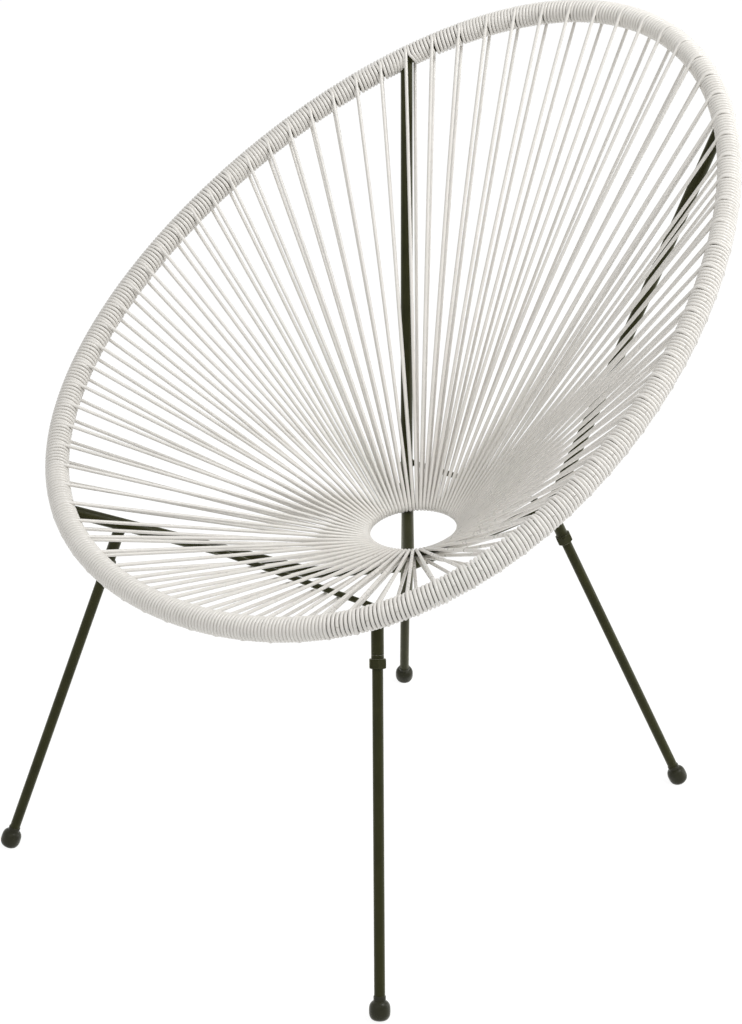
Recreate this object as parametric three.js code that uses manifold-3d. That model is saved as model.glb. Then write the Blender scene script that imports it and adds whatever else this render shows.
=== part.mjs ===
import * as THREE from "three";
import { mergeVertices } from "three/addons/utils/BufferGeometryUtils.js";
import Module from "manifold-3d";

// Acapulco chair: a tilted egg-shaped rim stands on two bent ribs that cross under the seat and on four
// screwed-in legs. Plastic cord is bound round the rim and runs in pairs, over and under, to a small hoop.
// Millimetres, +Z up, front towards -Y, +X to the sitter's left, origin on the floor under the chair's middle.

// Fits
const gap = 0.3;
const loopGap = 0.05;
const overrun = 4;
const degree = Math.PI / 180;

// Rim: an egg curve in a plane that rises towards the back
const rimHalfLength = 443.2;
const rimHalfWidth = 346.6;
const rimTilt = 34.08;
const rimForwardShare = 0.266;
const rimBroadBackShare = 0.137;
const rimAboveHoop = 280.3;
const rimTubeRadius = 9;
const rimSides = 8;

// Hoop round the opening in the middle of the seat
const hoopHeight = 344.5;
const hoopBack = 20.3;
const hoopTilt = 9.26;
const hoopBarRadius = 2.5;
const hoopSides = 6;
const hoopSteps = 48;

// Cord and winding
const cordDiameter = 3.9;
const spokeCount = 80;
const spokesPerPanel = 5;
const windingStartShare = 0.0045;
const windingSwingShare = 0.009;
const windingSwayShare = 0.0029;
const windingDoubleSwingShare = 0.0053;
const strandSetOff = 0.9;
const strandLeaving = 60;
const strandSides = 4;
const loopTurn = 60;

// Ribs: places of the bends and the crossing are measured from the hoop's centre
const ribRadius = 7;
const ribSides = 10;
const ribBendRadius = 30;
const ribBendSteps = 3;
const ribFrontJointShare = 0.4091;
const ribRearJointShare = 0.1035;
const frontBendOut = 70.05;
const frontBendForward = 98.5;
const frontBendDrop = 40.45;
const crossingForward = 9;
const crossingDrop = 34.6;
const rearBendOut = 106.4;
const rearBendBack = 116.4;
const rearBendRise = 23.55;

// Tie rods between the ribs
const tieRadius = 3.25;
const tieSides = 10;
const frontTieShare = 0.53;
const rearTieShare = 0.985;

// Legs: each stands on its rib and runs straight to its foot
const frontLegShare = 0.229;
const rearLegShare = 0.975;
const frontFootOut = 272.9;
const frontFootForward = 358.4;
const rearFootOut = 210.4;
const rearFootBack = 264.4;
const legRadius = 5.65;
const legSides = 12;
const stubRadius = 6.55;
const studRadius = 4;
const studReach = 18;
const nutDistance = 47;
const nutHeight = 13.5;
const nutAcrossFlats = 16.5;
const nutChamfer = 1.2;

// Feet: a rubber ball with a tapered neck over the leg's end
const footBallRadius = 11;
const footFlatDepth = 1;
const footNeckRadius = 7.6;
const footNeckLength = 22;
const footLipRounding = 0.9;
const footFloorThickness = 5;
const footSides = 12;
const footArcSteps = 6;

// Sizes that follow from the ones above
const cordRadius = cordDiameter / 2;
const boreRadius = studRadius + gap;
const rimBoreRadius = rimTubeRadius + gap;
const rimBindingRadius = rimBoreRadius + cordDiameter;
const strandSectionRadius = cordRadius * Math.sqrt(Math.PI / 2);
const strandHalfWidth = strandSectionRadius * Math.SQRT1_2;
const loopRadius = (hoopBarRadius + gap) / Math.cos(loopTurn / 2 * degree) + strandHalfWidth;
const loopPitch = cordDiameter + loopGap;
const hoopRadius = spokeCount * loopPitch / (2 * Math.PI) + loopRadius;
const ribBerth = 2 * ribRadius;

const wasm = await Module();
wasm.setup();

// Materials
const cordMaterial = new THREE.MeshStandardMaterial({ color: 0xe7e3dd, roughness: 0.35, metalness: 0 });
const steelMaterial = new THREE.MeshStandardMaterial({ color: 0x2f3020, roughness: 0.5, metalness: 0.3 });
const nutMaterial = new THREE.MeshStandardMaterial({ color: 0x33341f, roughness: 0.45, metalness: 0.4 });
const studMaterial = new THREE.MeshStandardMaterial({ color: 0x8d8f92, roughness: 0.35, metalness: 1 });
const rubberMaterial = new THREE.MeshStandardMaterial({ color: 0x17180f, roughness: 0.4, metalness: 0 });

// Curves, each in a plane, travelled from the back over +X to the front and round again
class RimCurve extends THREE.Curve {
  constructor() {
    super();
    this.arcLengthDivisions = 2000;
    this.backward = new THREE.Vector3(0, Math.cos(rimTilt * degree), Math.sin(rimTilt * degree));
    this.facing = new THREE.Vector3(0, -Math.sin(rimTilt * degree), Math.cos(rimTilt * degree));
    this.centre = new THREE.Vector3(0, 0, hoopHeight + rimAboveHoop);
  }

  getPoint(share) {
    const angle = 2 * Math.PI * share;
    const back = Math.cos(angle) - rimForwardShare * Math.sin(angle) ** 2;
    const out = Math.sin(angle) * (1 + rimBroadBackShare * Math.cos(angle));
    const point = this.centre.clone().addScaledVector(this.backward, rimHalfLength * back);
    point.x += rimHalfWidth * out;
    return point;
  }
}

class HoopCurve extends THREE.Curve {
  constructor() {
    super();
    this.backward = new THREE.Vector3(0, Math.cos(hoopTilt * degree), Math.sin(hoopTilt * degree));
    this.facing = new THREE.Vector3(0, -Math.sin(hoopTilt * degree), Math.cos(hoopTilt * degree));
    this.centre = new THREE.Vector3(0, hoopBack, hoopHeight);
  }

  getPoint(share) {
    const angle = 2 * Math.PI * share;
    const point = this.centre.clone().addScaledVector(this.backward, hoopRadius * Math.cos(angle));
    point.x += hoopRadius * Math.sin(angle);
    return point;
  }
}

const rim = new RimCurve();
const rimLength = rim.getLength();
const hoop = new HoopCurve();

// Share of a closed curve, brought between nothing and one
function wrapped(share) {
  return share - Math.floor(share);
}

// Where a spoke sits on the rim: its turns crowd a little at the sides and in front
function spokeOnRim(spoke) {
  const angle = 2 * Math.PI * spoke / spokeCount;
  const swing = windingSwingShare * Math.sin(angle) + windingSwayShare * Math.cos(angle);
  const doubleSwing = windingDoubleSwingShare * Math.sin(2 * angle);
  return spoke / spokeCount + windingStartShare + swing + doubleSwing;
}

function spokeOnHoop(spoke) {
  return spoke / spokeCount + windingStartShare;
}

function borderOnRim(spoke) {
  return (spokeOnRim(spoke - 1) + spokeOnRim(spoke)) / 2;
}

// Section of a bar as a ring of points, turning right-handed about the travel direction
function section(centre, normal, binormal, radius, sides) {
  return Array.from({ length: sides }, (_, side) => {
    const angle = 2 * Math.PI * (side + 0.5) / sides;
    const point = centre.clone().addScaledVector(normal, radius * Math.cos(angle));
    return point.addScaledVector(binormal, radius * Math.sin(angle));
  });
}

function sectionOn(curve, share, radius, sides) {
  const centre = curve.getPointAt(wrapped(share));
  const tangent = curve.getTangentAt(wrapped(share));
  const outward = curve.facing.clone().cross(tangent).normalize();
  return section(centre, outward, curve.facing, radius, sides);
}

function sectionsAlong(points, radius, sides) {
  const normal = new THREE.Vector3();
  return points.map((point, index) => {
    const before = points[Math.max(index - 1, 0)];
    const after = points[Math.min(index + 1, points.length - 1)];
    const tangent = after.clone().sub(before).normalize();
    if (index === 0) {
      normal.set(tangent.y, -tangent.x, 0);
    }
    normal.addScaledVector(tangent, -normal.dot(tangent)).normalize();
    return section(point, normal, tangent.clone().cross(normal), radius, sides);
  });
}

// Bodies through rings of points
function sideFaces(rings, offset, joined, inside) {
  const sides = rings[0].length;
  const spans = joined ? rings.length : rings.length - 1;
  const triangles = [];
  for (let span = 0; span < spans; span += 1) {
    const here = offset + span * sides;
    const next = offset + ((span + 1) % rings.length) * sides;
    for (let side = 0; side < sides; side += 1) {
      const turn = (side + 1) % sides;
      const first = inside ? [here + side, next + turn, here + turn] : [here + side, here + turn, next + turn];
      const second = inside ? [here + side, next + side, next + turn] : [here + side, next + turn, next + side];
      triangles.push(...first, ...second);
    }
  }
  return triangles;
}

function bodyOf(points, triangles) {
  const geometry = new THREE.BufferGeometry().setFromPoints(points);
  geometry.setIndex(triangles);
  geometry.computeVertexNormals();
  return geometry;
}

function cappedBody(rings) {
  const sides = rings[0].length;
  const last = (rings.length - 1) * sides;
  const triangles = sideFaces(rings, 0, false, false);
  for (let side = 1; side < sides - 1; side += 1) {
    triangles.push(0, side + 1, side, last, last + side, last + side + 1);
  }
  return bodyOf(rings.flat(), triangles);
}

function closedLoopBody(rings) {
  return bodyOf(rings.flat(), sideFaces(rings, 0, true, false));
}

function sleeveBody(outerRings, boreRings) {
  const sides = boreRings[0].length;
  const bore = outerRings.length * sides;
  const outerEnd = bore - sides;
  const boreEnd = bore + (boreRings.length - 1) * sides;
  const triangles = sideFaces(outerRings, 0, false, false);
  triangles.push(...sideFaces(boreRings, bore, false, true));
  for (let side = 0; side < sides; side += 1) {
    const turn = (side + 1) % sides;
    triangles.push(side, bore + turn, turn, side, bore + side, bore + turn);
    triangles.push(outerEnd + side, outerEnd + turn, boreEnd + turn);
    triangles.push(outerEnd + side, boreEnd + turn, boreEnd + side);
  }
  return bodyOf([...outerRings.flat(), ...boreRings.flat()], triangles);
}

function bar(points, radius, sides) {
  return cappedBody(sectionsAlong(points, radius, sides));
}

// Joining and cutting
function solidOf(geometry) {
  const bare = geometry.clone();
  bare.deleteAttribute("normal");
  bare.deleteAttribute("uv");
  const merged = mergeVertices(bare);
  const corners = merged.index.array;
  const kept = [];
  for (let corner = 0; corner < corners.length; corner += 3) {
    const [a, b, c] = corners.slice(corner, corner + 3);
    if (a !== b && b !== c && c !== a) {
      kept.push(a, b, c);
    }
  }
  const vertProperties = new Float32Array(merged.attributes.position.array);
  return new wasm.Manifold(new wasm.Mesh({ numProp: 3, vertProperties, triVerts: new Uint32Array(kept) }));
}

function geometryOf(solid) {
  const mesh = solid.getMesh();
  const geometry = new THREE.BufferGeometry();
  geometry.setAttribute("position", new THREE.BufferAttribute(mesh.vertProperties, 3));
  geometry.setIndex(new THREE.BufferAttribute(mesh.triVerts, 1));
  geometry.computeVertexNormals();
  return geometry;
}

function cut(geometry, cutters) {
  let solid = solidOf(geometry);
  for (const cutter of cutters) {
    solid = solid.subtract(solidOf(cutter));
  }
  return geometryOf(solid);
}

// Rim and hoop
function rimTube(radius) {
  const rings = [];
  for (let spoke = 0; spoke < spokeCount; spoke += 1) {
    rings.push(sectionOn(rim, borderOnRim(spoke), radius, rimSides));
  }
  return closedLoopBody(rings);
}

function hoopBar() {
  const rings = [];
  for (let step = 0; step < hoopSteps; step += 1) {
    rings.push(sectionOn(hoop, step / hoopSteps, hoopBarRadius, hoopSides));
  }
  return closedLoopBody(rings);
}

// Ribs: one bent bar from each front joint, under the hoop, to the rear joint across
function atHoop(out, back, rise) {
  return new THREE.Vector3(out, hoopBack + back, hoopHeight + rise);
}

function ribCorners(side, crossingRise) {
  return [
    rim.getPointAt(side > 0 ? ribFrontJointShare : 1 - ribFrontJointShare),
    atHoop(side * frontBendOut, -frontBendForward, -frontBendDrop),
    atHoop(0, -crossingForward, crossingRise - crossingDrop),
    atHoop(-side * rearBendOut, rearBendBack, rearBendRise),
    rim.getPointAt(side > 0 ? 1 - ribRearJointShare : ribRearJointShare),
  ];
}

function bentPath(corners) {
  const points = [corners[0]];
  for (let index = 1; index < corners.length - 1; index += 1) {
    const here = corners[index];
    const arriving = here.clone().sub(corners[index - 1]).normalize();
    const leaving = corners[index + 1].clone().sub(here).normalize();
    const run = ribBendRadius * Math.tan(arriving.angleTo(leaving) / 2);
    const start = here.clone().addScaledVector(arriving, -run);
    const end = here.clone().addScaledVector(leaving, run);
    points.push(...new THREE.QuadraticBezierCurve3(start, here, end).getPoints(ribBendSteps));
  }
  points.push(corners[corners.length - 1]);
  return points;
}

const upperRibPath = bentPath(ribCorners(1, ribRadius));
const lowerRibPath = bentPath(ribCorners(-1, -ribRadius));
const ribCutters = [upperRibPath, lowerRibPath].map((path) => bar(path, ribRadius + gap, ribSides));

// A place on a rib: on its front run from the joint to the bend, or on its rear run from the crossing to the bend
function onFrontRun(side, share) {
  const corners = ribCorners(side, 0);
  return corners[0].clone().lerp(corners[1], share);
}

function onRearRun(side, share) {
  const corners = ribCorners(-side, 0);
  return corners[2].clone().lerp(corners[3], share);
}

// Legs: in its own group each leg hangs down -Z from the rib's middle to the ball of its foot
function legPlace(top, footOut, footBack) {
  const foot = new THREE.Vector3(footOut, footBack, footBallRadius - footFlatDepth);
  const run = foot.clone().sub(top);
  const turn = new THREE.Quaternion().setFromUnitVectors(new THREE.Vector3(0, 0, -1), run.clone().normalize());
  const matrix = new THREE.Matrix4().compose(top, turn, new THREE.Vector3(1, 1, 1));
  return { top, turn, length: run.length(), inverse: matrix.clone().invert(), matrix };
}

const stubEnd = nutDistance - nutHeight / 2 - gap;
const legStart = nutDistance + nutHeight / 2 + gap;

function column(radius, sides, from, to) {
  const body = new THREE.CylinderGeometry(radius, radius, to - from, sides);
  body.rotateX(90 * degree);
  body.translate(0, 0, -(from + to) / 2);
  return body;
}

function legStub(place) {
  const bore = column(boreRadius, legSides, stubEnd - studReach - gap, stubEnd + overrun);
  const ribs = ribCutters.map((cutter) => cutter.clone().applyMatrix4(place.inverse));
  return cut(column(stubRadius, legSides, 0, stubEnd), [bore, ...ribs]);
}

function stubEnvelope(place) {
  return column(stubRadius + gap, legSides, 0, stubEnd).applyMatrix4(place.matrix);
}

// A hexagon with its corners turned off at both ends
function lockNut() {
  const cornerRadius = nutAcrossFlats / 2 / Math.cos(30 * degree);
  const half = nutHeight / 2;
  const profile = [
    new THREE.Vector2(0, -half),
    new THREE.Vector2(cornerRadius - nutChamfer, -half),
    new THREE.Vector2(cornerRadius + gap, -half + nutChamfer),
    new THREE.Vector2(cornerRadius + gap, half - nutChamfer),
    new THREE.Vector2(cornerRadius - nutChamfer, half),
    new THREE.Vector2(0, half),
  ];
  const turned = new THREE.LatheGeometry(profile, legSides);
  turned.rotateX(90 * degree);
  turned.translate(0, 0, -nutDistance);
  const hexagon = column(cornerRadius, 6, nutDistance - half - gap, nutDistance + half + gap);
  const bore = column(boreRadius, legSides, nutDistance - nutHeight, nutDistance + nutHeight);
  return geometryOf(solidOf(turned).intersect(solidOf(hexagon)).subtract(solidOf(bore)));
}

function threadedStud() {
  return column(studRadius, legSides, stubEnd - studReach, legStart + studReach);
}

function footSocketEnd(place) {
  return place.length + footBallRadius - footFlatDepth - footFloorThickness;
}

function legTube(place) {
  const end = footSocketEnd(place) - gap;
  return cut(column(legRadius, legSides, legStart, end), [column(boreRadius, legSides, legStart - overrun, end + overrun)]);
}

function foot(place) {
  const socketRadius = legRadius + gap;
  const neckAngle = Math.asin(footNeckRadius / footBallRadius);
  const profile = [];
  for (let step = 0; step <= footArcSteps; step += 1) {
    const angle = (180 * degree - neckAngle) * step / footArcSteps;
    profile.push(new THREE.Vector2(footBallRadius * Math.sin(angle), -footBallRadius * Math.cos(angle)));
  }
  profile[0].x = 0;
  profile.push(new THREE.Vector2(footNeckRadius, footNeckLength - footLipRounding));
  profile.push(new THREE.Vector2(footNeckRadius - footLipRounding, footNeckLength));
  profile.push(new THREE.Vector2(0, footNeckLength));
  const body = new THREE.LatheGeometry(profile, footSides);
  body.rotateX(90 * degree);
  body.translate(0, 0, -place.length);
  const socket = column(socketRadius, legSides, place.length - footNeckLength - overrun, footSocketEnd(place));
  const floor = new THREE.BoxGeometry(4 * footBallRadius, 4 * footBallRadius, 2 * footBallRadius);
  const ball = new THREE.Vector3(0, 0, -place.length).applyMatrix4(place.matrix);
  floor.translate(ball.x, ball.y, -footBallRadius);
  floor.applyMatrix4(place.inverse);
  return cut(body, [socket, floor]);
}

function leg(name, place) {
  const group = new THREE.Group();
  group.position.copy(place.top);
  group.quaternion.copy(place.turn);
  group.add(piece(`${name}_leg_stub`, legStub(place), steelMaterial));
  group.add(piece(`${name}_lock_nut`, lockNut(), nutMaterial));
  group.add(piece(`${name}_threaded_stud`, threadedStud(), studMaterial));
  group.add(piece(`${name}_leg_tube`, legTube(place), steelMaterial));
  group.add(piece(`${name}_foot`, foot(place), rubberMaterial));
  return group;
}

function piece(name, geometry, material) {
  const mesh = new THREE.Mesh(geometry, material);
  mesh.name = name;
  return mesh;
}

const legPlaces = {
  front_left: legPlace(onFrontRun(1, frontLegShare), frontFootOut, -frontFootForward),
  front_right: legPlace(onFrontRun(-1, frontLegShare), -frontFootOut, -frontFootForward),
  rear_left: legPlace(onRearRun(1, rearLegShare), rearFootOut, rearFootBack),
  rear_right: legPlace(onRearRun(-1, rearLegShare), -rearFootOut, rearFootBack),
};
const stubCutters = Object.values(legPlaces).map(stubEnvelope);

// Tie rods: straight from rib to rib, shaped to the ribs and leg stubs that they meet
const frontTieEnds = [onFrontRun(-1, frontTieShare), onFrontRun(1, frontTieShare)];
const rearTieEnds = [onRearRun(-1, rearTieShare), onRearRun(1, rearTieShare)];

function tieRod(ends) {
  return cut(bar(ends, tieRadius, tieSides), [...ribCutters, ...stubCutters]);
}

// Cord: each spoke is an upper and a lower strand that touch the rim and the hoop from above and below
function besideRibs(share) {
  const berth = ribBerth / rimLength;
  for (const joint of [ribRearJointShare, ribFrontJointShare, 1 - ribFrontJointShare, 1 - ribRearJointShare]) {
    const distance = share - joint;
    if (Math.abs(distance) < berth) {
      return joint + berth * Math.sign(distance);
    }
  }
  return share;
}

// A strand's start in the turns on the rim: above or below the bar's middle, and a little inward
function strandStart(spoke, side) {
  const share = wrapped(spokeOnRim(spoke) + side * strandSetOff / rimLength);
  const rimShare = side > 0 ? share : besideRibs(share);
  const start = rim.getPointAt(rimShare);
  const tangent = rim.getTangentAt(rimShare);
  const along = hoop.getPointAt(wrapped(spokeOnHoop(spoke))).sub(start).normalize();
  const lift = along.cross(tangent).normalize();
  const inward = tangent.cross(lift);
  const seat = rimBindingRadius - cordRadius;
  start.addScaledVector(lift, side * seat * Math.sin(strandLeaving * degree));
  return start.addScaledVector(inward, seat * Math.cos(strandLeaving * degree));
}

// The turn of a spoke's cord under the hoop's inner side, from its upper to its lower strand
function loopPoints(spoke, start) {
  const share = wrapped(spokeOnHoop(spoke));
  const middle = hoop.getPointAt(share);
  const tangent = hoop.getTangentAt(share);
  const lift = middle.clone().sub(start).cross(tangent).normalize();
  const inward = tangent.clone().cross(lift);
  const points = [];
  for (let angle = 0; angle <= 180; angle += loopTurn) {
    const point = middle.clone().addScaledVector(lift, loopRadius * Math.cos(angle * degree));
    points.push(point.addScaledVector(inward, loopRadius * Math.sin(angle * degree)));
  }
  return points;
}

// Where a taut strand is pressed aside because it would touch the front tie rod
function pressedPoint(start, end) {
  const along = end.clone().sub(start);
  const tie = frontTieEnds[1].clone().sub(frontTieEnds[0]);
  const upward = tie.clone().cross(along).normalize();
  const apart = start.clone().sub(frontTieEnds[0]).dot(upward);
  const needed = tieRadius + strandSectionRadius + gap;
  const acrossTie = tie.clone().cross(upward);
  const share = frontTieEnds[0].clone().sub(start).dot(acrossTie) / along.dot(acrossTie);
  const nearest = start.clone().addScaledVector(along, share);
  const meets = share > 0 && share < 1 && Math.abs(nearest.x) < frontTieEnds[1].x;
  if (!meets || Math.abs(apart) >= needed) {
    return [];
  }
  return [nearest.addScaledVector(upward, Math.sign(apart) * needed - apart)];
}

// One spoke: from the top of the rim to the hoop, round it, and back to the rim's underside
function spokeCord(spoke, allowance) {
  const upper = strandStart(spoke, 1);
  const lower = strandStart(spoke, -1);
  const loop = loopPoints(spoke, upper);
  const outward = pressedPoint(upper, loop[0]);
  const homeward = pressedPoint(loop[loop.length - 1], lower);
  const points = [upper, ...outward, ...loop, ...homeward, lower];
  return bar(points, strandSectionRadius + allowance, strandSides);
}

// The turns of one panel's cord side by side round the rim
function rimBinding(first) {
  const last = first + spokesPerPanel;
  const halfGap = gap / 2 / rimLength;
  const outerRings = [];
  const boreRings = [];
  for (let spoke = first; spoke <= last; spoke += 1) {
    const inward = spoke === first ? halfGap : spoke === last ? -halfGap : 0;
    outerRings.push(sectionOn(rim, borderOnRim(spoke) + inward, rimBindingRadius, rimSides));
    boreRings.push(sectionOn(rim, borderOnRim(spoke) + inward, rimBoreRadius, rimSides));
  }
  return sleeveBody(outerRings, boreRings);
}

function cordPanel(first) {
  const last = first + spokesPerPanel;
  let panel = solidOf(rimBinding(first));
  for (const neighbour of [first - 2, first - 1, last, last + 1]) {
    panel = panel.subtract(solidOf(spokeCord(neighbour, gap)));
  }
  for (let spoke = first; spoke < last; spoke += 1) {
    panel = panel.add(solidOf(spokeCord(spoke, 0)));
  }
  for (const cutter of ribCutters) {
    panel = panel.subtract(solidOf(cutter));
  }
  return geometryOf(panel);
}

// The chair
const chair = new THREE.Group();

const rimCutter = rimTube(rimBoreRadius);
const upperRib = cut(bar(upperRibPath, ribRadius, ribSides), [rimCutter]);
const lowerRib = cut(bar(lowerRibPath, ribRadius, ribSides), [rimCutter, ribCutters[0]]);
const frame = new THREE.Group();
frame.add(piece("rim_tube", rimTube(rimTubeRadius), steelMaterial));
frame.add(piece("upper_cross_rib", upperRib, steelMaterial));
frame.add(piece("lower_cross_rib", lowerRib, steelMaterial));
frame.add(piece("front_tie_rod", tieRod(frontTieEnds), steelMaterial));
frame.add(piece("rear_tie_rod", tieRod(rearTieEnds), steelMaterial));
frame.add(piece("centre_hoop", hoopBar(), steelMaterial));
chair.add(frame);

for (const [name, place] of Object.entries(legPlaces)) {
  chair.add(leg(name, place));
}

const seat = new THREE.Group();
for (let first = 0; first < spokeCount; first += spokesPerPanel) {
  const number = String(first / spokesPerPanel + 1).padStart(2, "0");
  seat.add(piece(`cord_panel_${number}`, cordPanel(first), cordMaterial));
}
chair.add(seat);

export default chair;
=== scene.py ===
import math

import bpy
import numpy as np
from mathutils import Matrix, Vector


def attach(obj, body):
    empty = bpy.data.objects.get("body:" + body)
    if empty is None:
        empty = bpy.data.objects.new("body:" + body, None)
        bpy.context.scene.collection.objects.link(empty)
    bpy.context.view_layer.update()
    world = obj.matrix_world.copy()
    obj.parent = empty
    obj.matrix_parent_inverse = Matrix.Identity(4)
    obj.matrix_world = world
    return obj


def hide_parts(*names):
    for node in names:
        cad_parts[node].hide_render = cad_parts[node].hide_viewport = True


# Looks of the acapulco chair: off-white cord wound turn by turn round the rim and strung to the hoop,
# powder-coated ribs, tie rods and legs with weld beads, and rubber ball feet.
# The chair's sizes are in millimetres in the CAD frame and become metres when a mesh is made.

METRES = 0.001

# Clearance between pieces that touch or are welded
GAP = 0.3

# Facets of a bar, set out from the Z axis, or from the X axis where the bar starts more upright than this
BAR_SIDES = 32
NEARLY_UPRIGHT = 0.9

# Rim: an egg curve in a plane that rises towards the back
RIM_HALF_LENGTH = 443.2
RIM_HALF_WIDTH = 346.6
RIM_TILT = math.radians(34.08)
RIM_FORWARD_SHARE = 0.266
RIM_BROAD_BACK_SHARE = 0.137
RIM_ABOVE_HOOP = 280.3
RIM_BORE_RADIUS = 9.3

# Hoop round the opening in the seat
HOOP_HEIGHT = 344.5
HOOP_BACK = 20.3
HOOP_TILT = math.radians(9.26)
HOOP_BAR_RADIUS = 2.5
HOOP_RADIUS = 55.25
HOOP_CLEARANCE = 0.2
HOOP_POINTS = 96
HOOP_SIDES = 16

# Cord, and where its spokes leave the rim
CORD_RADIUS = 1.95
CORD_SIDES = 10
SPOKES = 80
SPOKES_PER_PANEL = 5
WINDING_START_SHARE = 0.0045
WINDING_SWING_SHARE = 0.009
WINDING_SWAY_SHARE = 0.0029
WINDING_DOUBLE_SWING_SHARE = 0.0053

# Winding: the turns side by side round the rim, pushed aside by ribs and closed up beside strands
WINDING_RADIUS = RIM_BORE_RADIUS + CORD_RADIUS
TURN_SPACING = 3.85
STEPS_PER_TURN = 20
RIB_PUSH = 7.5
RIB_PUSH_REACH = 12.0
STRAND_PULL = 2.0
STRAND_PULL_REACH = 7.0

# Strands: how the upper and the lower one stand apart, come off the turns and pass a rib
STRAND_SET_OFF = 0.9
STRAND_RAISE = 0.8
STRAND_TURN = math.radians(80)
STRAND_TURN_POINTS = 9
STRAND_POINT_SHARES = (0.02, 0.25, 0.5, 0.75, 0.98)
LOOP_STEPS = 12
RIB_BERTH = 9.5
RIB_FRONT_BERTH = 15.5

# Ribs: places of the bends and the crossing are measured from the hoop's centre
RIB_RADIUS = 7.0
RIB_BEND_RADIUS = 30.0
RIB_BEND_STEPS = 10
RIB_FRONT_JOINT_SHARE = 0.4091
RIB_REAR_JOINT_SHARE = 0.1035
FRONT_BEND = (70.05, -98.5, -40.45)
CROSSING = (0.0, -9.0, -34.6)
REAR_BEND = (106.4, 116.4, 23.55)

# Tie rods and weld beads
TIE_RADIUS = 3.25
TIE_SIDES = 24
FRONT_TIE_SHARE = 0.53
REAR_TIE_SHARE = 0.985
WELD_RADIUS = 1.3
WELD_POINTS = 28
WELD_SIDES = 8

# Legs: each stands on its rib and runs straight to its foot
FRONT_LEG_SHARE = 0.229
REAR_LEG_SHARE = 0.975
FRONT_FOOT = (272.9, -358.4)
REAR_FOOT = (210.4, 264.4)
LEG_RADIUS = 5.65
STUB_RADIUS = 6.55
END_ROUNDING = 0.6
ROUNDING_STEPS = 4

# Lock nuts
NUT_DISTANCE = 47.0
NUT_HEIGHT = 13.5
NUT_ACROSS_FLATS = 16.5
NUT_CHAMFER = 1.2
NUT_CHAMFER_SLOPE = 1.2
NUT_CHAMFER_STEPS = 4
NUT_COLLAR = 3.5
NUT_TURN = math.radians(15)
NUT_SIDES = 96

# Feet: a ball with full shoulders under a thin sleeve
FOOT_BALL_RADIUS = 11.0
FOOT_FLAT_DEPTH = 1.0
FOOT_SQUARENESS = 2.8
FOOT_TIP_RADIUS = 0.01
FOOT_SLEEVE_RADIUS = 6.4
FOOT_SLEEVE_LENGTH = 15.0
FOOT_SLEEVE_FIT = 0.1
FOOT_SLEEVE_INSIDE_DEPTHS = (2.0, 0.4)
FOOT_LIP_ROUNDING = 0.6
FOOT_POINTS = 40
FOOT_SIDES = 40

# Camera: where it looks, from where, and its lens on a film of this length
CAMERA_TARGET = (15.2, -72.05, 398.3)
CAMERA_AZIMUTH = math.radians(40.10)
CAMERA_ELEVATION = math.radians(22.29)
CAMERA_ROLL = math.radians(0.433)
CAMERA_DISTANCE = 3003.8
CAMERA_LENS = 96.86
CAMERA_FILM_LENGTH = 36.0
CAMERA_CLIP_METRES = 50.0

# Studio: light from all round, and a floor that glows where it is seen directly
WORLD_STRENGTH = 0.56
FLOOR_HALF_METRES = 12.0
FLOOR_COLOR = (0.9, 0.9, 0.9, 1.0)
FLOOR_ROUGHNESS = 0.9
FLOOR_GLOW = 1.13
FLOOR_GLOW_SHARE = 0.8

# Edges sharper than these angles aren't shaded smooth
BAR_SHARP_ANGLE = math.radians(35)
NUT_SHARP_ANGLE = math.radians(20)
CORD_SHARP_ANGLE = math.radians(60)

# Most of a noise's values lie between these
NOISE_LOW = 0.3
NOISE_HIGH = 0.7


# Vectors and curves
def unit(vectors):
    return vectors / np.linalg.norm(vectors, axis=-1, keepdims=True)


class PlaneCurve:
    """A closed curve in a tilted plane, travelled by its length from the back over +X."""

    STEPS = 4000
    HALF_STEP = 0.2

    def __init__(self, centre, tilt, out_and_back):
        self.centre = np.array(centre, float)
        self.backward = np.array((0.0, math.cos(tilt), math.sin(tilt)))
        self.facing = np.array((0.0, -math.sin(tilt), math.cos(tilt)))
        self.out_and_back = out_and_back
        self.angles = np.linspace(0, 2 * math.pi, self.STEPS + 1)
        steps = np.linalg.norm(np.diff(self.at_angle(self.angles), axis=0), axis=1)
        self.lengths = np.concatenate(([0.0], np.cumsum(steps)))
        self.length = self.lengths[-1]

    def at_angle(self, angles):
        out, back = self.out_and_back(np.asarray(angles, float))
        across = np.array((1.0, 0.0, 0.0))
        return self.centre + out[..., None] * across + back[..., None] * self.backward

    def at(self, distances):
        wrapped = np.mod(distances, self.length)
        return self.at_angle(np.interp(wrapped, self.lengths, self.angles))

    def tangent(self, distances):
        ahead = self.at(np.asarray(distances) + self.HALF_STEP)
        return unit(ahead - self.at(np.asarray(distances) - self.HALF_STEP))

    def outward(self, distances):
        return unit(np.cross(self.facing, self.tangent(distances)))


def egg(angles):
    back = np.cos(angles) - RIM_FORWARD_SHARE * np.sin(angles) ** 2
    out = np.sin(angles) * (1 + RIM_BROAD_BACK_SHARE * np.cos(angles))
    return RIM_HALF_WIDTH * out, RIM_HALF_LENGTH * back


def ring(angles):
    return HOOP_RADIUS * np.sin(angles), HOOP_RADIUS * np.cos(angles)


RIM = PlaneCurve((0.0, 0.0, HOOP_HEIGHT + RIM_ABOVE_HOOP), RIM_TILT, egg)
HOOP = PlaneCurve((0.0, HOOP_BACK, HOOP_HEIGHT), HOOP_TILT, ring)


def round_rim(distances, angles, radii):
    """Points round the rim: angle zero points out of the rim's plane curve, a right angle points up."""
    out = RIM.outward(distances)
    offset = np.cos(angles)[..., None] * out + np.sin(angles)[..., None] * RIM.facing
    return RIM.at(distances) + np.asarray(radii)[..., None] * offset


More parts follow.
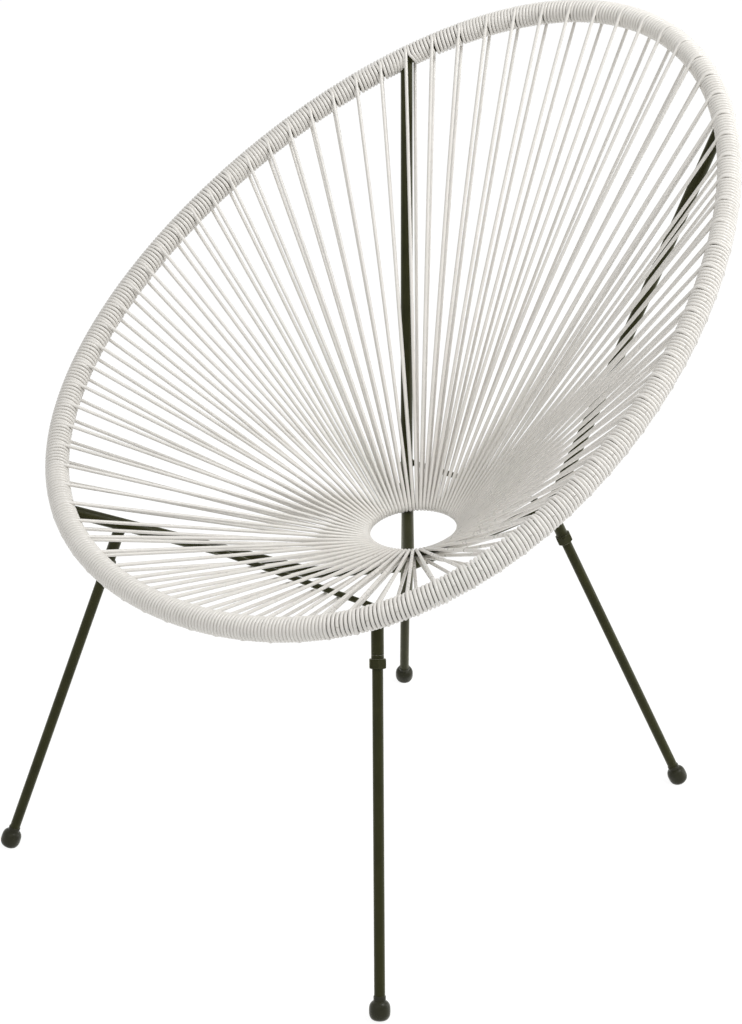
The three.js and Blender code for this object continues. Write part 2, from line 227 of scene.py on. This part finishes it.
# Meshes
def tube(points, radius, sides, closed=False):
    """A round bar along points, with its section carried along without twist."""
    points = np.asarray(points, float)
    if closed:
        forward = unit(np.roll(points, -1, axis=0) - points)
        backward = np.roll(forward, 1, axis=0)
    else:
        steps = unit(np.diff(points, axis=0))
        forward = np.vstack((steps, steps[-1:]))
        backward = np.vstack((steps[:1], steps))
    tangents = unit(forward + backward)
    upright = abs(tangents[0, 2]) >= NEARLY_UPRIGHT
    helper = np.array((1.0, 0.0, 0.0)) if upright else np.array((0.0, 0.0, 1.0))
    normal = np.cross(tangents[0], helper)
    angles = 2 * math.pi * np.arange(sides) / sides
    rings = []
    for point, tangent in zip(points, tangents):
        normal = unit(normal - tangent * (normal @ tangent))
        binormal = np.cross(tangent, normal)
        ring_offsets = np.outer(np.cos(angles), normal) + np.outer(np.sin(angles), binormal)
        rings.append(point + radius * ring_offsets)
    return skin(rings, closed)


def skin(rings, closed=False):
    """Vertices and faces over rings of points, with flat ends unless the rings close on themselves."""
    count = len(rings)
    sides = len(rings[0])
    spans = count if closed else count - 1
    here = (np.arange(spans)[:, None] * sides + np.arange(sides)[None, :]).ravel()
    turn = (np.arange(spans)[:, None] * sides + (np.arange(sides)[None, :] + 1) % sides).ravel()
    total = count * sides
    faces = np.stack((here, turn, (turn + sides) % total, (here + sides) % total), axis=1).tolist()
    if not closed:
        faces.append(list(range(sides - 1, -1, -1)))
        faces.append(list(range(total - sides, total)))
    return np.vstack(rings), faces


def joined(parts):
    vertices = []
    faces = []
    start = 0
    for points, corners in parts:
        vertices.append(points)
        faces.extend([[corner + start for corner in face] for face in corners])
        start += len(points)
    return np.vstack(vertices), faces


def add_piece(name, parts, material, nodes, sharp_angle=BAR_SHARP_ANGLE):
    """A mesh object that takes the place of CAD nodes and rides on the chair."""
    vertices, faces = joined(parts)
    mesh = bpy.data.meshes.new(name)
    mesh.from_pydata((vertices * METRES).tolist(), [], faces)
    mesh.validate()
    mesh.polygons.foreach_set("use_smooth", [True] * len(mesh.polygons))
    mesh.set_sharp_from_angle(angle=sharp_angle)
    mesh.materials.append(material)
    piece = bpy.data.objects.new(name, mesh)
    bpy.context.scene.collection.objects.link(piece)
    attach(piece, "root")
    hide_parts(*nodes)


# Materials
class Nodes:
    """A material's shader, and the noises on the object that give it colour, gloss and grain."""

    def __init__(self, name):
        self.material = bpy.data.materials.new(name)
        self.material.use_nodes = True
        self.tree = self.material.node_tree
        self.shader = self.tree.nodes["Principled BSDF"]
        self.place = self.tree.nodes.new("ShaderNodeTexCoord").outputs["Object"]

    def link(self, source, target):
        self.tree.links.new(source, target)

    def noise(self, scale, detail):
        node = self.tree.nodes.new("ShaderNodeTexNoise")
        node.inputs["Scale"].default_value = scale
        node.inputs["Detail"].default_value = detail
        self.link(self.place, node.inputs["Vector"])
        return node.outputs["Fac"]

    def color(self, scale, detail, dark, light):
        node = self.tree.nodes.new("ShaderNodeValToRGB")
        stops = ((NOISE_LOW, dark), (NOISE_HIGH, light))
        for element, (position, color) in zip(node.color_ramp.elements, stops):
            element.position = position
            element.color = (*color, 1.0)
        self.link(self.noise(scale, detail), node.inputs["Fac"])
        self.link(node.outputs["Color"], self.shader.inputs["Base Color"])

    def roughness(self, scale, detail, low, high):
        node = self.tree.nodes.new("ShaderNodeMapRange")
        node.inputs["From Min"].default_value = NOISE_LOW
        node.inputs["From Max"].default_value = NOISE_HIGH
        node.inputs["To Min"].default_value = low
        node.inputs["To Max"].default_value = high
        self.link(self.noise(scale, detail), node.inputs["Value"])
        self.link(node.outputs["Result"], self.shader.inputs["Roughness"])

    def bump(self, scale, detail, strength, height):
        node = self.tree.nodes.new("ShaderNodeBump")
        node.inputs["Strength"].default_value = strength
        node.inputs["Distance"].default_value = height
        self.link(self.noise(scale, detail), node.inputs["Height"])
        self.link(node.outputs["Normal"], self.shader.inputs["Normal"])

    def specular(self, level):
        self.shader.inputs["Specular IOR Level"].default_value = level

    def sheen(self, weight, roughness, tint):
        self.shader.inputs["Sheen Weight"].default_value = weight
        self.shader.inputs["Sheen Roughness"].default_value = roughness
        self.shader.inputs["Sheen Tint"].default_value = (*tint, 1.0)


def cord_material():
    nodes = Nodes("plastic_cord")
    nodes.color(scale=26.0, detail=3.0, dark=(0.725, 0.703, 0.661), light=(0.775, 0.752, 0.710))
    nodes.roughness(scale=90.0, detail=3.0, low=0.24, high=0.40)
    nodes.bump(scale=700.0, detail=2.0, strength=0.05, height=0.0002)
    return nodes.material


def powder_coat_material():
    nodes = Nodes("powder_coat")
    nodes.color(scale=45.0, detail=4.0, dark=(0.017, 0.0175, 0.002), light=(0.026, 0.0265, 0.005))
    nodes.specular(0.15)
    nodes.sheen(weight=0.75, roughness=0.36, tint=(0.85, 0.85, 0.66))
    nodes.roughness(scale=160.0, detail=2.0, low=0.36, high=0.50)
    nodes.bump(scale=1500.0, detail=2.0, strength=0.25, height=0.0003)
    return nodes.material


def rubber_material():
    nodes = Nodes("rubber")
    nodes.color(scale=60.0, detail=4.0, dark=(0.013, 0.013, 0.004), light=(0.022, 0.022, 0.009))
    nodes.specular(0.2)
    nodes.sheen(weight=0.6, roughness=0.36, tint=(0.85, 0.85, 0.76))
    nodes.roughness(scale=200.0, detail=3.0, low=0.30, high=0.46)
    nodes.bump(scale=1800.0, detail=2.0, strength=0.15, height=0.0002)
    return nodes.material


def zinc_material():
    nodes = Nodes("zinc")
    nodes.color(scale=300.0, detail=3.0, dark=(0.48, 0.49, 0.50), light=(0.62, 0.62, 0.61))
    nodes.shader.inputs["Metallic"].default_value = 1.0
    nodes.roughness(scale=500.0, detail=2.0, low=0.30, high=0.48)
    return nodes.material


# Ribs
def at_hoop(place, side):
    out, back, rise = place
    return np.array((side * out, HOOP_BACK + back, HOOP_HEIGHT + rise))


def rib_corners(side, rise):
    """A rib's joints, bends and crossing, from a side at the front to the other side at the back."""
    front = RIB_FRONT_JOINT_SHARE if side > 0 else 1 - RIB_FRONT_JOINT_SHARE
    rear = 1 - RIB_REAR_JOINT_SHARE if side > 0 else RIB_REAR_JOINT_SHARE
    crossing = at_hoop(CROSSING, 0) + np.array((0.0, 0.0, rise))
    return [
        RIM.at(front * RIM.length),
        at_hoop(FRONT_BEND, side),
        crossing,
        at_hoop(REAR_BEND, -side),
        RIM.at(rear * RIM.length),
    ]


def bent_path(corners):
    points = [corners[0]]
    for before, here, after in zip(corners, corners[1:], corners[2:]):
        arriving = unit(here - before)
        leaving = unit(after - here)
        turn = math.acos(float(arriving @ leaving))
        run = RIB_BEND_RADIUS * math.tan(turn / 2)
        start = here - arriving * run
        end = here + leaving * run
        for share in np.linspace(0, 1, RIB_BEND_STEPS + 1):
            points.append((1 - share) ** 2 * start + 2 * share * (1 - share) * here + share**2 * end)
    points.append(corners[-1])
    return points


def front_run(side):
    corners = rib_corners(side, 0)
    return corners[0], corners[1]


def rear_run(side):
    corners = rib_corners(-side, 0)
    return corners[2], corners[3]


def on_run(run, share):
    return run[0] + (run[1] - run[0]) * share


# Welds
def weld(start, direction, radius, other_point, other_direction, other_radius):
    """The bead where a round bar that starts at a point meets another bar's side."""
    direction = unit(direction)
    other = unit(other_direction)
    side = unit(np.cross(direction, other))
    up = np.cross(direction, side)
    points = []
    for angle in np.linspace(0, 2 * math.pi, WELD_POINTS, endpoint=False):
        base = start + radius * (math.cos(angle) * side + math.sin(angle) * up) - other_point
        flat_base = base - other * (base @ other)
        flat_way = direction - other * (direction @ other)
        a = flat_way @ flat_way
        b = 2 * flat_base @ flat_way
        c = flat_base @ flat_base - other_radius**2
        reach = (-b + math.sqrt(max(b * b - 4 * a * c, 0.0))) / (2 * a)
        points.append(base + other_point + direction * reach)
    return tube(points, WELD_RADIUS, WELD_SIDES, closed=True)


# Legs
class Leg:
    """A leg's own frame: distances run from the rib's middle down to the ball of the foot."""

    def __init__(self, top, foot):
        self.top = np.array(top, float)
        self.end = np.array((foot[0], foot[1], FOOT_BALL_RADIUS - FOOT_FLAT_DEPTH))
        self.length = float(np.linalg.norm(self.end - self.top))
        self.axis = unit(self.end - self.top)
        turn = Vector((0.0, 0.0, -1.0)).rotation_difference(Vector(self.axis))
        self.across = np.array(turn @ Vector((1.0, 0.0, 0.0)))
        self.along = np.array(turn @ Vector((0.0, 1.0, 0.0)))

    def rings(self, profile, sides):
        """Rings for a profile of distances and radii, where a radius may be a function of the angle."""
        angles = 2 * math.pi * np.arange(sides) / sides
        made = []
        for distance, radius in profile:
            size = radius(angles) if callable(radius) else np.full(sides, radius)
            across = np.outer(size * np.sin(angles), self.across)
            along = np.outer(size * np.cos(angles), self.along)
            made.append((self.top + self.axis * distance + across - along)[::-1])
        return made


def rounded_end(distance, radius, direction):
    """Profile points of a tube's rounded rim, from its side to its end face."""
    points = []
    for angle in np.linspace(0, math.pi / 2, ROUNDING_STEPS + 1):
        inset = END_ROUNDING * (1 - math.cos(angle))
        points.append((distance - direction * END_ROUNDING * (1 - math.sin(angle)), radius - inset))
    return points


def leg_stub(leg):
    end = NUT_DISTANCE - NUT_HEIGHT / 2 - GAP
    profile = [(0.0, STUB_RADIUS)] + rounded_end(end, STUB_RADIUS, 1)
    return skin(leg.rings(profile, BAR_SIDES))


def lock_nut(leg, collar_above):
    """A chamfered hexagon with a round collar at the stub's end or at the leg tube's end."""
    corner = NUT_ACROSS_FLATS / 2 / math.cos(math.pi / 6)

    def hexagon(limit):
        def size(angles):
            from_flat = np.mod(angles + NUT_TURN, math.pi / 3) - math.pi / 6
            return np.minimum(NUT_ACROSS_FLATS / 2 / np.cos(from_flat), limit)
        return size

    top = NUT_DISTANCE - NUT_HEIGHT / 2
    bottom = NUT_DISTANCE + NUT_HEIGHT / 2
    start = top + NUT_COLLAR if collar_above else top
    end = bottom if collar_above else bottom - NUT_COLLAR
    chamfer = []
    for share in np.linspace(0, 1, NUT_CHAMFER_STEPS + 1):
        cut = NUT_CHAMFER * NUT_CHAMFER_SLOPE * (1 - share)
        chamfer.append((share * NUT_CHAMFER, hexagon(corner - cut)))
    profile = [(start + depth, size) for depth, size in chamfer]
    profile += [(end - depth, size) for depth, size in reversed(chamfer)]
    if collar_above:
        profile = [(top, STUB_RADIUS), (start, STUB_RADIUS)] + profile
    else:
        profile = profile + [(end, LEG_RADIUS), (bottom, LEG_RADIUS)]
    return skin(leg.rings(profile, NUT_SIDES))


def leg_tube(leg):
    start = NUT_DISTANCE + NUT_HEIGHT / 2 + GAP
    profile = rounded_end(start, LEG_RADIUS, -1)[::-1] + [(leg.length, LEG_RADIUS)]
    return skin(leg.rings(profile, BAR_SIDES))


def foot(leg):
    """A thin sleeve over the leg's end and a ball with full shoulders, flat where it stands."""
    power = 2 / FOOT_SQUARENESS
    sleeve_angle = math.asin((FOOT_SLEEVE_RADIUS / FOOT_BALL_RADIUS) ** (1 / power))
    lip = leg.length - FOOT_SLEEVE_LENGTH
    profile = [(lip + depth, LEG_RADIUS + FOOT_SLEEVE_FIT) for depth in FOOT_SLEEVE_INSIDE_DEPTHS]
    for angle in np.linspace(0, math.pi / 2, ROUNDING_STEPS + 1):
        radius = FOOT_SLEEVE_RADIUS - FOOT_LIP_ROUNDING * (1 - math.sin(angle))
        profile.append((lip + FOOT_LIP_ROUNDING * (1 - math.cos(angle)), radius))
    for angle in np.linspace(sleeve_angle, math.pi, FOOT_POINTS):
        above = math.copysign(abs(math.cos(angle)) ** power, math.cos(angle))
        radius = FOOT_BALL_RADIUS * max(math.sin(angle), 0.0) ** power
        profile.append((leg.length - FOOT_BALL_RADIUS * above, max(radius, FOOT_TIP_RADIUS)))
    vertices, faces = skin(leg.rings(profile, FOOT_SIDES))
    vertices[:, 2] = np.maximum(vertices[:, 2], 0.0)
    return vertices, faces


# Cord
def spoke_on_rim(spoke):
    angle = 2 * math.pi * spoke / SPOKES
    swing = WINDING_SWING_SHARE * math.sin(angle) + WINDING_SWAY_SHARE * math.cos(angle)
    double_swing = WINDING_DOUBLE_SWING_SHARE * math.sin(2 * angle)
    return (spoke / SPOKES + WINDING_START_SHARE + swing + double_swing) * RIM.length


def spoke_on_hoop(spoke):
    return (spoke / SPOKES + WINDING_START_SHARE) * HOOP.length


RIB_JOINTS = [
    share * RIM.length
    for share in (
        RIB_REAR_JOINT_SHARE,
        RIB_FRONT_JOINT_SHARE,
        1 - RIB_FRONT_JOINT_SHARE,
        1 - RIB_REAR_JOINT_SHARE,
    )
]


def beside_ribs(distance):
    """A lower strand passes a rib on the side away from the front, or further off on the other side."""
    for joint in RIB_JOINTS:
        away = -1 if joint < RIM.length / 2 else 1
        apart = math.remainder(distance - joint, RIM.length) * away
        if -RIB_FRONT_BERTH < apart < RIB_BERTH:
            halfway = (RIB_BERTH - RIB_FRONT_BERTH) / 2
            return joint + away * (RIB_BERTH if apart > halfway else -RIB_FRONT_BERTH)
    return distance


class Strand:
    """One of a spoke's two strands: where it touches the turns on the rim, and its direction there."""

    def __init__(self, spoke, side):
        place = spoke_on_rim(spoke)
        beside = place if side > 0 else beside_ribs(place)
        self.distance = beside + side * STRAND_SET_OFF
        middle = RIM.at(self.distance)
        tangent = RIM.tangent(self.distance)
        self.direction = unit(HOOP.at(spoke_on_hoop(spoke)) - middle)
        lift = unit(np.cross(self.direction, tangent)) * side
        self.start = middle + lift * (WINDING_RADIUS + STRAND_RAISE)
        along = float(self.direction @ tangent)
        self.slope = along / math.sqrt(1 - along**2)
        out = RIM.outward(self.distance)
        self.angle = math.atan2(float(lift @ RIM.facing), float(lift @ out))


def loop_points(spoke, start):
    """The turn round the hoop's inner side, from the upper strand to the lower."""
    middle = HOOP.at(spoke_on_hoop(spoke))
    tangent = HOOP.tangent(spoke_on_hoop(spoke))
    lift = unit(np.cross(middle - start, tangent))
    inward = np.cross(tangent, lift)
    radius = HOOP_BAR_RADIUS + HOOP_CLEARANCE + CORD_RADIUS
    angles = np.linspace(0, math.pi, LOOP_STEPS + 1)
    return middle + radius * (np.outer(np.cos(angles), lift) + np.outer(np.sin(angles), inward))


FRONT_TIE = [on_run(front_run(side), FRONT_TIE_SHARE) for side in (-1, 1)]


def pressed_point(start, end):
    """Where a taut strand is pressed aside because it would touch the front tie rod."""
    along = end - start
    tie = FRONT_TIE[1] - FRONT_TIE[0]
    upward = unit(np.cross(tie, along))
    apart = float((start - FRONT_TIE[0]) @ upward)
    needed = TIE_RADIUS + CORD_RADIUS + GAP
    across = np.cross(tie, upward)
    share = float((FRONT_TIE[0] - start) @ across) / float(along @ across)
    nearest = start + along * share
    meets = 0 < share < 1 and abs(nearest[0]) < FRONT_TIE[1][0]
    if not meets or abs(apart) >= needed:
        return []
    return [nearest + upward * (math.copysign(needed, apart) - apart)]


def smooth_step(shares):
    return shares * shares * (3 - 2 * shares)


def eased(shares, here, here_slope, there, there_slope):
    """A value that leaves one place with its slope and reaches another with that one's."""
    s = shares
    leaving = (2 * s**3 - 3 * s**2 + 1) * here + (s**3 - 2 * s**2 + s) * here_slope
    return leaving + (3 * s**2 - 2 * s**3) * there + (s**3 - s**2) * there_slope


def rib_angle_at(joint):
    """Angle round the rim at which the rib leaves a joint."""
    point = RIM.at(joint)
    ends = []
    for side in (1, -1):
        front, front_bend, _, rear_bend, rear = rib_corners(side, 0)
        ends += [(front, front_bend), (rear, rear_bend)]
    _, bend = min(ends, key=lambda end: np.linalg.norm(end[0] - point))
    way = bend - point
    return math.atan2(float(way @ RIM.facing), float(way @ RIM.outward(joint)))


RIB_ANGLES = [(joint, rib_angle_at(joint)) for joint in RIB_JOINTS]


def beside_rib_turns(distances, angles):
    """Turns give way to a rib on the side of the rim where it is welded on."""
    moved = np.array(distances, float)
    for joint, rib_angle in RIB_ANGLES:
        apart = np.remainder(moved - joint + RIM.length / 2, RIM.length) - RIM.length / 2
        facing = np.clip(np.cos(angles - rib_angle), 0.0, 1.0)
        push = RIB_PUSH * facing * np.exp(-np.abs(apart) / RIB_PUSH_REACH)
        moved = moved + np.where(apart >= 0, 1.0, -1.0) * push
    return moved


class Winding:
    """The turns between a spoke's upper strand and the next spoke's lower one."""

    def __init__(self, spoke):
        self.upper = Strand(spoke, 1)
        self.lower = Strand(spoke + 1, -1)
        self.start = spoke_on_rim(spoke) + STRAND_SET_OFF
        self.end = spoke_on_rim(spoke + 1) - STRAND_SET_OFF
        turns = int((self.end - self.start + 2 * STRAND_SET_OFF) / TURN_SPACING)
        part_turn = (self.upper.angle - self.lower.angle) % (2 * math.pi)
        self.turned = 2 * math.pi * (turns - 1) + part_turn
        self.advance = (self.end - self.start) / self.turned
        self.half = self.turned / 2

    def place(self, turned):
        """Distances along the rim and angles round it. The turns close up on the rim's inner side."""
        angles = self.upper.angle - turned
        distances = self.start + self.advance * turned
        inside = np.clip(-np.cos(angles), 0.0, 1.0)
        to_start = np.exp((self.start - distances) / STRAND_PULL_REACH)
        to_end = np.exp((distances - self.end) / STRAND_PULL_REACH)
        distances = distances + STRAND_PULL * inside * (to_end - to_start)
        return beside_rib_turns(distances, angles), angles

    def turns(self, first, last):
        count = max(int(round((last - first) / (2 * math.pi) * STEPS_PER_TURN)), 2)
        distances, angles = self.place(np.linspace(first, last, count + 1))
        return round_rim(distances, angles, np.full(count + 1, WINDING_RADIUS))

    def arriving(self):
        """The upper strand comes down on the rim and takes its place beside the turns."""
        shares = np.linspace(0, 1, STRAND_TURN_POINTS)
        _, angles = self.place(STRAND_TURN * shares)
        end = self.place(np.array([STRAND_TURN]))[0][0]
        run = STRAND_TURN * WINDING_RADIUS
        advance = self.advance * STRAND_TURN
        distances = eased(shares, self.upper.distance, -self.upper.slope * run, end, advance)
        return round_rim(distances, angles, WINDING_RADIUS + STRAND_RAISE * (1 - smooth_step(shares)))

    def leaving(self):
        """The last part of the turns leaves under the rim as the next spoke's lower strand."""
        shares = np.linspace(0, 1, STRAND_TURN_POINTS)
        _, angles = self.place(self.turned - STRAND_TURN * (1 - shares))
        begin = self.place(np.array([self.turned - STRAND_TURN]))[0][0]
        run = STRAND_TURN * WINDING_RADIUS
        advance = self.advance * STRAND_TURN
        distances = eased(shares, begin, advance, self.lower.distance, self.lower.slope * run)
        return round_rim(distances, angles, WINDING_RADIUS + STRAND_RAISE * smooth_step(shares))


def spoke_cord(spoke):
    """From the middle of one run of turns, out to the hoop and back, to the middle of the next run."""
    before = Winding(spoke - 1)
    after = Winding(spoke)
    turns_in = before.turns(before.half, before.turned - STRAND_TURN)
    leaving = before.leaving()
    arriving = after.arriving()
    loop = loop_points(spoke, arriving[0])[::-1]
    lower = line(leaving[-1], loop[0])
    upper = line(loop[-1], arriving[0])
    turns_out = after.turns(STRAND_TURN, after.half)
    points = np.vstack((turns_in[:-1], leaving, lower, loop, upper, arriving, turns_out[1:]))
    return tube(points, CORD_RADIUS, CORD_SIDES)


def line(start, end):
    """Points strictly between a strand's two ends."""
    stops = [start, *pressed_point(start, end), end]
    points = []
    for here, there in zip(stops, stops[1:]):
        points.extend(here + (there - here) * share for share in STRAND_POINT_SHARES)
    return np.array(points)


# Scene
def area_light(name, direction, distance, size, watts):
    light = bpy.data.lights.new(name, "AREA")
    light.shape = "DISK"
    light.size = size
    light.energy = watts
    lamp = bpy.data.objects.new(name, light)
    bpy.context.scene.collection.objects.link(lamp)
    target = Vector(CAMERA_TARGET) * METRES
    way = Vector(direction).normalized()
    lamp.location = target + way * distance
    lamp.rotation_euler = way.to_track_quat("Z", "Y").to_euler()


def seen_directly(tree):
    """One for camera, glossy and transmission rays, zero for the rest."""
    path = tree.nodes.new("ShaderNodeLightPath")
    seen = path.outputs["Is Camera Ray"]
    for kind in ("Is Glossy Ray", "Is Transmission Ray"):
        either = tree.nodes.new("ShaderNodeMath")
        either.operation = "MAXIMUM"
        tree.links.new(seen, either.inputs[0])
        tree.links.new(path.outputs[kind], either.inputs[1])
        seen = either.outputs[0]
    return seen


def make_world():
    world = bpy.data.worlds.new("studio")
    bpy.context.scene.world = world
    world.use_nodes = True
    tree = world.node_tree
    background = tree.nodes["Background"]
    background.inputs["Color"].default_value = (1.0, 1.0, 1.0, 1.0)
    strength = tree.nodes.new("ShaderNodeMapRange")
    strength.inputs["To Min"].default_value = WORLD_STRENGTH
    strength.inputs["To Max"].default_value = 1.0
    tree.links.new(seen_directly(tree), strength.inputs["Value"])
    tree.links.new(strength.outputs["Result"], background.inputs["Strength"])


def floor_material():
    """A pale floor that glows where it is seen directly, so that it is white with a faint shadow."""
    material = bpy.data.materials.new("floor")
    material.use_nodes = True
    tree = material.node_tree
    shader = tree.nodes["Principled BSDF"]
    shader.inputs["Base Color"].default_value = FLOOR_COLOR
    shader.inputs["Roughness"].default_value = FLOOR_ROUGHNESS
    glow = tree.nodes.new("ShaderNodeEmission")
    glow.inputs["Strength"].default_value = FLOOR_GLOW
    part = tree.nodes.new("ShaderNodeMath")
    part.operation = "MULTIPLY"
    part.inputs[1].default_value = FLOOR_GLOW_SHARE
    mix = tree.nodes.new("ShaderNodeMixShader")
    tree.links.new(seen_directly(tree), part.inputs[0])
    tree.links.new(part.outputs[0], mix.inputs["Fac"])
    tree.links.new(shader.outputs["BSDF"], mix.inputs[1])
    tree.links.new(glow.outputs["Emission"], mix.inputs[2])
    tree.links.new(mix.outputs["Shader"], tree.nodes["Material Output"].inputs["Surface"])
    return material


def make_floor():
    size = FLOOR_HALF_METRES
    mesh = bpy.data.meshes.new("floor")
    corners = [(-size, -size, 0), (size, -size, 0), (size, size, 0), (-size, size, 0)]
    mesh.from_pydata(corners, [], [(0, 1, 2, 3)])
    mesh.materials.append(floor_material())
    floor = bpy.data.objects.new("floor", mesh)
    bpy.context.scene.collection.objects.link(floor)


def make_camera():
    azimuth, elevation, roll = CAMERA_AZIMUTH, CAMERA_ELEVATION, CAMERA_ROLL
    back = Vector((
        math.sin(azimuth) * math.cos(elevation),
        -math.cos(azimuth) * math.cos(elevation),
        math.sin(elevation),
    ))
    level = Vector((math.cos(azimuth), math.sin(azimuth), 0.0))
    upright = back.cross(level)
    right = level * math.cos(roll) + upright * math.sin(roll)
    up = back.cross(right)
    data = bpy.data.cameras.new("camera")
    data.lens = CAMERA_LENS
    data.sensor_width = CAMERA_FILM_LENGTH
    data.clip_end = CAMERA_CLIP_METRES
    camera = bpy.data.objects.new("camera", data)
    bpy.context.scene.collection.objects.link(camera)
    place = (Vector(CAMERA_TARGET) + back * CAMERA_DISTANCE) * METRES
    turn = Matrix((right, up, back)).transposed()
    camera.matrix_world = Matrix.Translation(place) @ turn.to_4x4()
    bpy.context.scene.camera = camera


def make_cords(material):
    for first in range(0, SPOKES, SPOKES_PER_PANEL):
        number = f"{first // SPOKES_PER_PANEL + 1:02d}"
        parts = [spoke_cord(spoke) for spoke in range(first, first + SPOKES_PER_PANEL)]
        node = f"cord_panel_{number}"
        add_piece(f"cord_{number}", parts, material, [node], CORD_SHARP_ANGLE)


def make_frame(material):
    for name, side in (("upper", 1), ("lower", -1)):
        rib = tube(bent_path(rib_corners(side, side * RIB_RADIUS)), RIB_RADIUS, BAR_SIDES)
        add_piece(f"{name}_rib", [rib], material, [f"{name}_cross_rib"])
    hoop_points = HOOP.at(np.linspace(0, HOOP.length, HOOP_POINTS, endpoint=False))
    hoop = tube(hoop_points, HOOP_BAR_RADIUS, HOOP_SIDES, closed=True)
    add_piece("hoop", [hoop], material, ["centre_hoop"])
    for name, run, share in (("front", front_run, FRONT_TIE_SHARE), ("rear", rear_run, REAR_TIE_SHARE)):
        right, left = on_run(run(-1), share), on_run(run(1), share)
        parts = [tube([right, left], TIE_RADIUS, TIE_SIDES)]
        for end, side, way in ((right, -1, left - right), (left, 1, right - left)):
            rib = run(side)
            parts.append(weld(end, way, TIE_RADIUS, rib[0], rib[1] - rib[0], RIB_RADIUS))
        add_piece(f"{name}_tie", parts, material, [f"{name}_tie_rod"])


def make_legs(steel, rubber):
    for end, run, share, place in (
        ("front", front_run, FRONT_LEG_SHARE, FRONT_FOOT),
        ("rear", rear_run, REAR_LEG_SHARE, REAR_FOOT),
    ):
        for side, hand in ((1, "left"), (-1, "right")):
            name = f"{end}_{hand}"
            rib = run(side)
            leg = Leg(on_run(rib, share), (side * place[0], place[1]))
            bead = weld(leg.top, leg.axis, STUB_RADIUS, rib[0], rib[1] - rib[0], RIB_RADIUS)
            add_piece(f"{name}_stub", [leg_stub(leg), bead], steel, [f"{name}_leg_stub"])
            nut = lock_nut(leg, collar_above=end == "front")
            add_piece(f"{name}_nut", [nut], steel, [f"{name}_lock_nut"], NUT_SHARP_ANGLE)
            add_piece(f"{name}_tube", [leg_tube(leg)], steel, [f"{name}_leg_tube"])
            add_piece(f"{name}_ball_foot", [foot(leg)], rubber, [f"{name}_foot"])


def dress_nodes(frame, steel, zinc):
    """CAD nodes that stay get their finish."""
    for name, node in frame["nodes"].items():
        if node.hide_render:
            continue
        node.data.materials.clear()
        node.data.materials.append(zinc if name.endswith("threaded_stud") else steel)


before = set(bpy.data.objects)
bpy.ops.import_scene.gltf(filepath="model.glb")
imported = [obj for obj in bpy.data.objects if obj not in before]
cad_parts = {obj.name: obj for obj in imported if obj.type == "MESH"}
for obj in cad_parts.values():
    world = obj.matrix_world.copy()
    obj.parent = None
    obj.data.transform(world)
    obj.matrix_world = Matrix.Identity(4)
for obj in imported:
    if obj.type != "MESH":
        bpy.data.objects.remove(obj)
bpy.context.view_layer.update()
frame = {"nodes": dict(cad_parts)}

make_camera()
make_world()
make_floor()
area_light("key", direction=(0.71, 0.24, 1.01), distance=3.2, size=1.4, watts=54.0)
area_light("fill", direction=(0.2, -1.0, 0.7), distance=3.4, size=2.6, watts=12.0)
area_light("side", direction=(0.62, 0.78, 0.16), distance=3.4, size=2.0, watts=24.0)

steel = powder_coat_material()
make_cords(cord_material())
make_frame(steel)
make_legs(steel, rubber_material())
dress_nodes(frame, steel, zinc_material())

bpy.context.scene.view_settings.view_transform = "Standard"
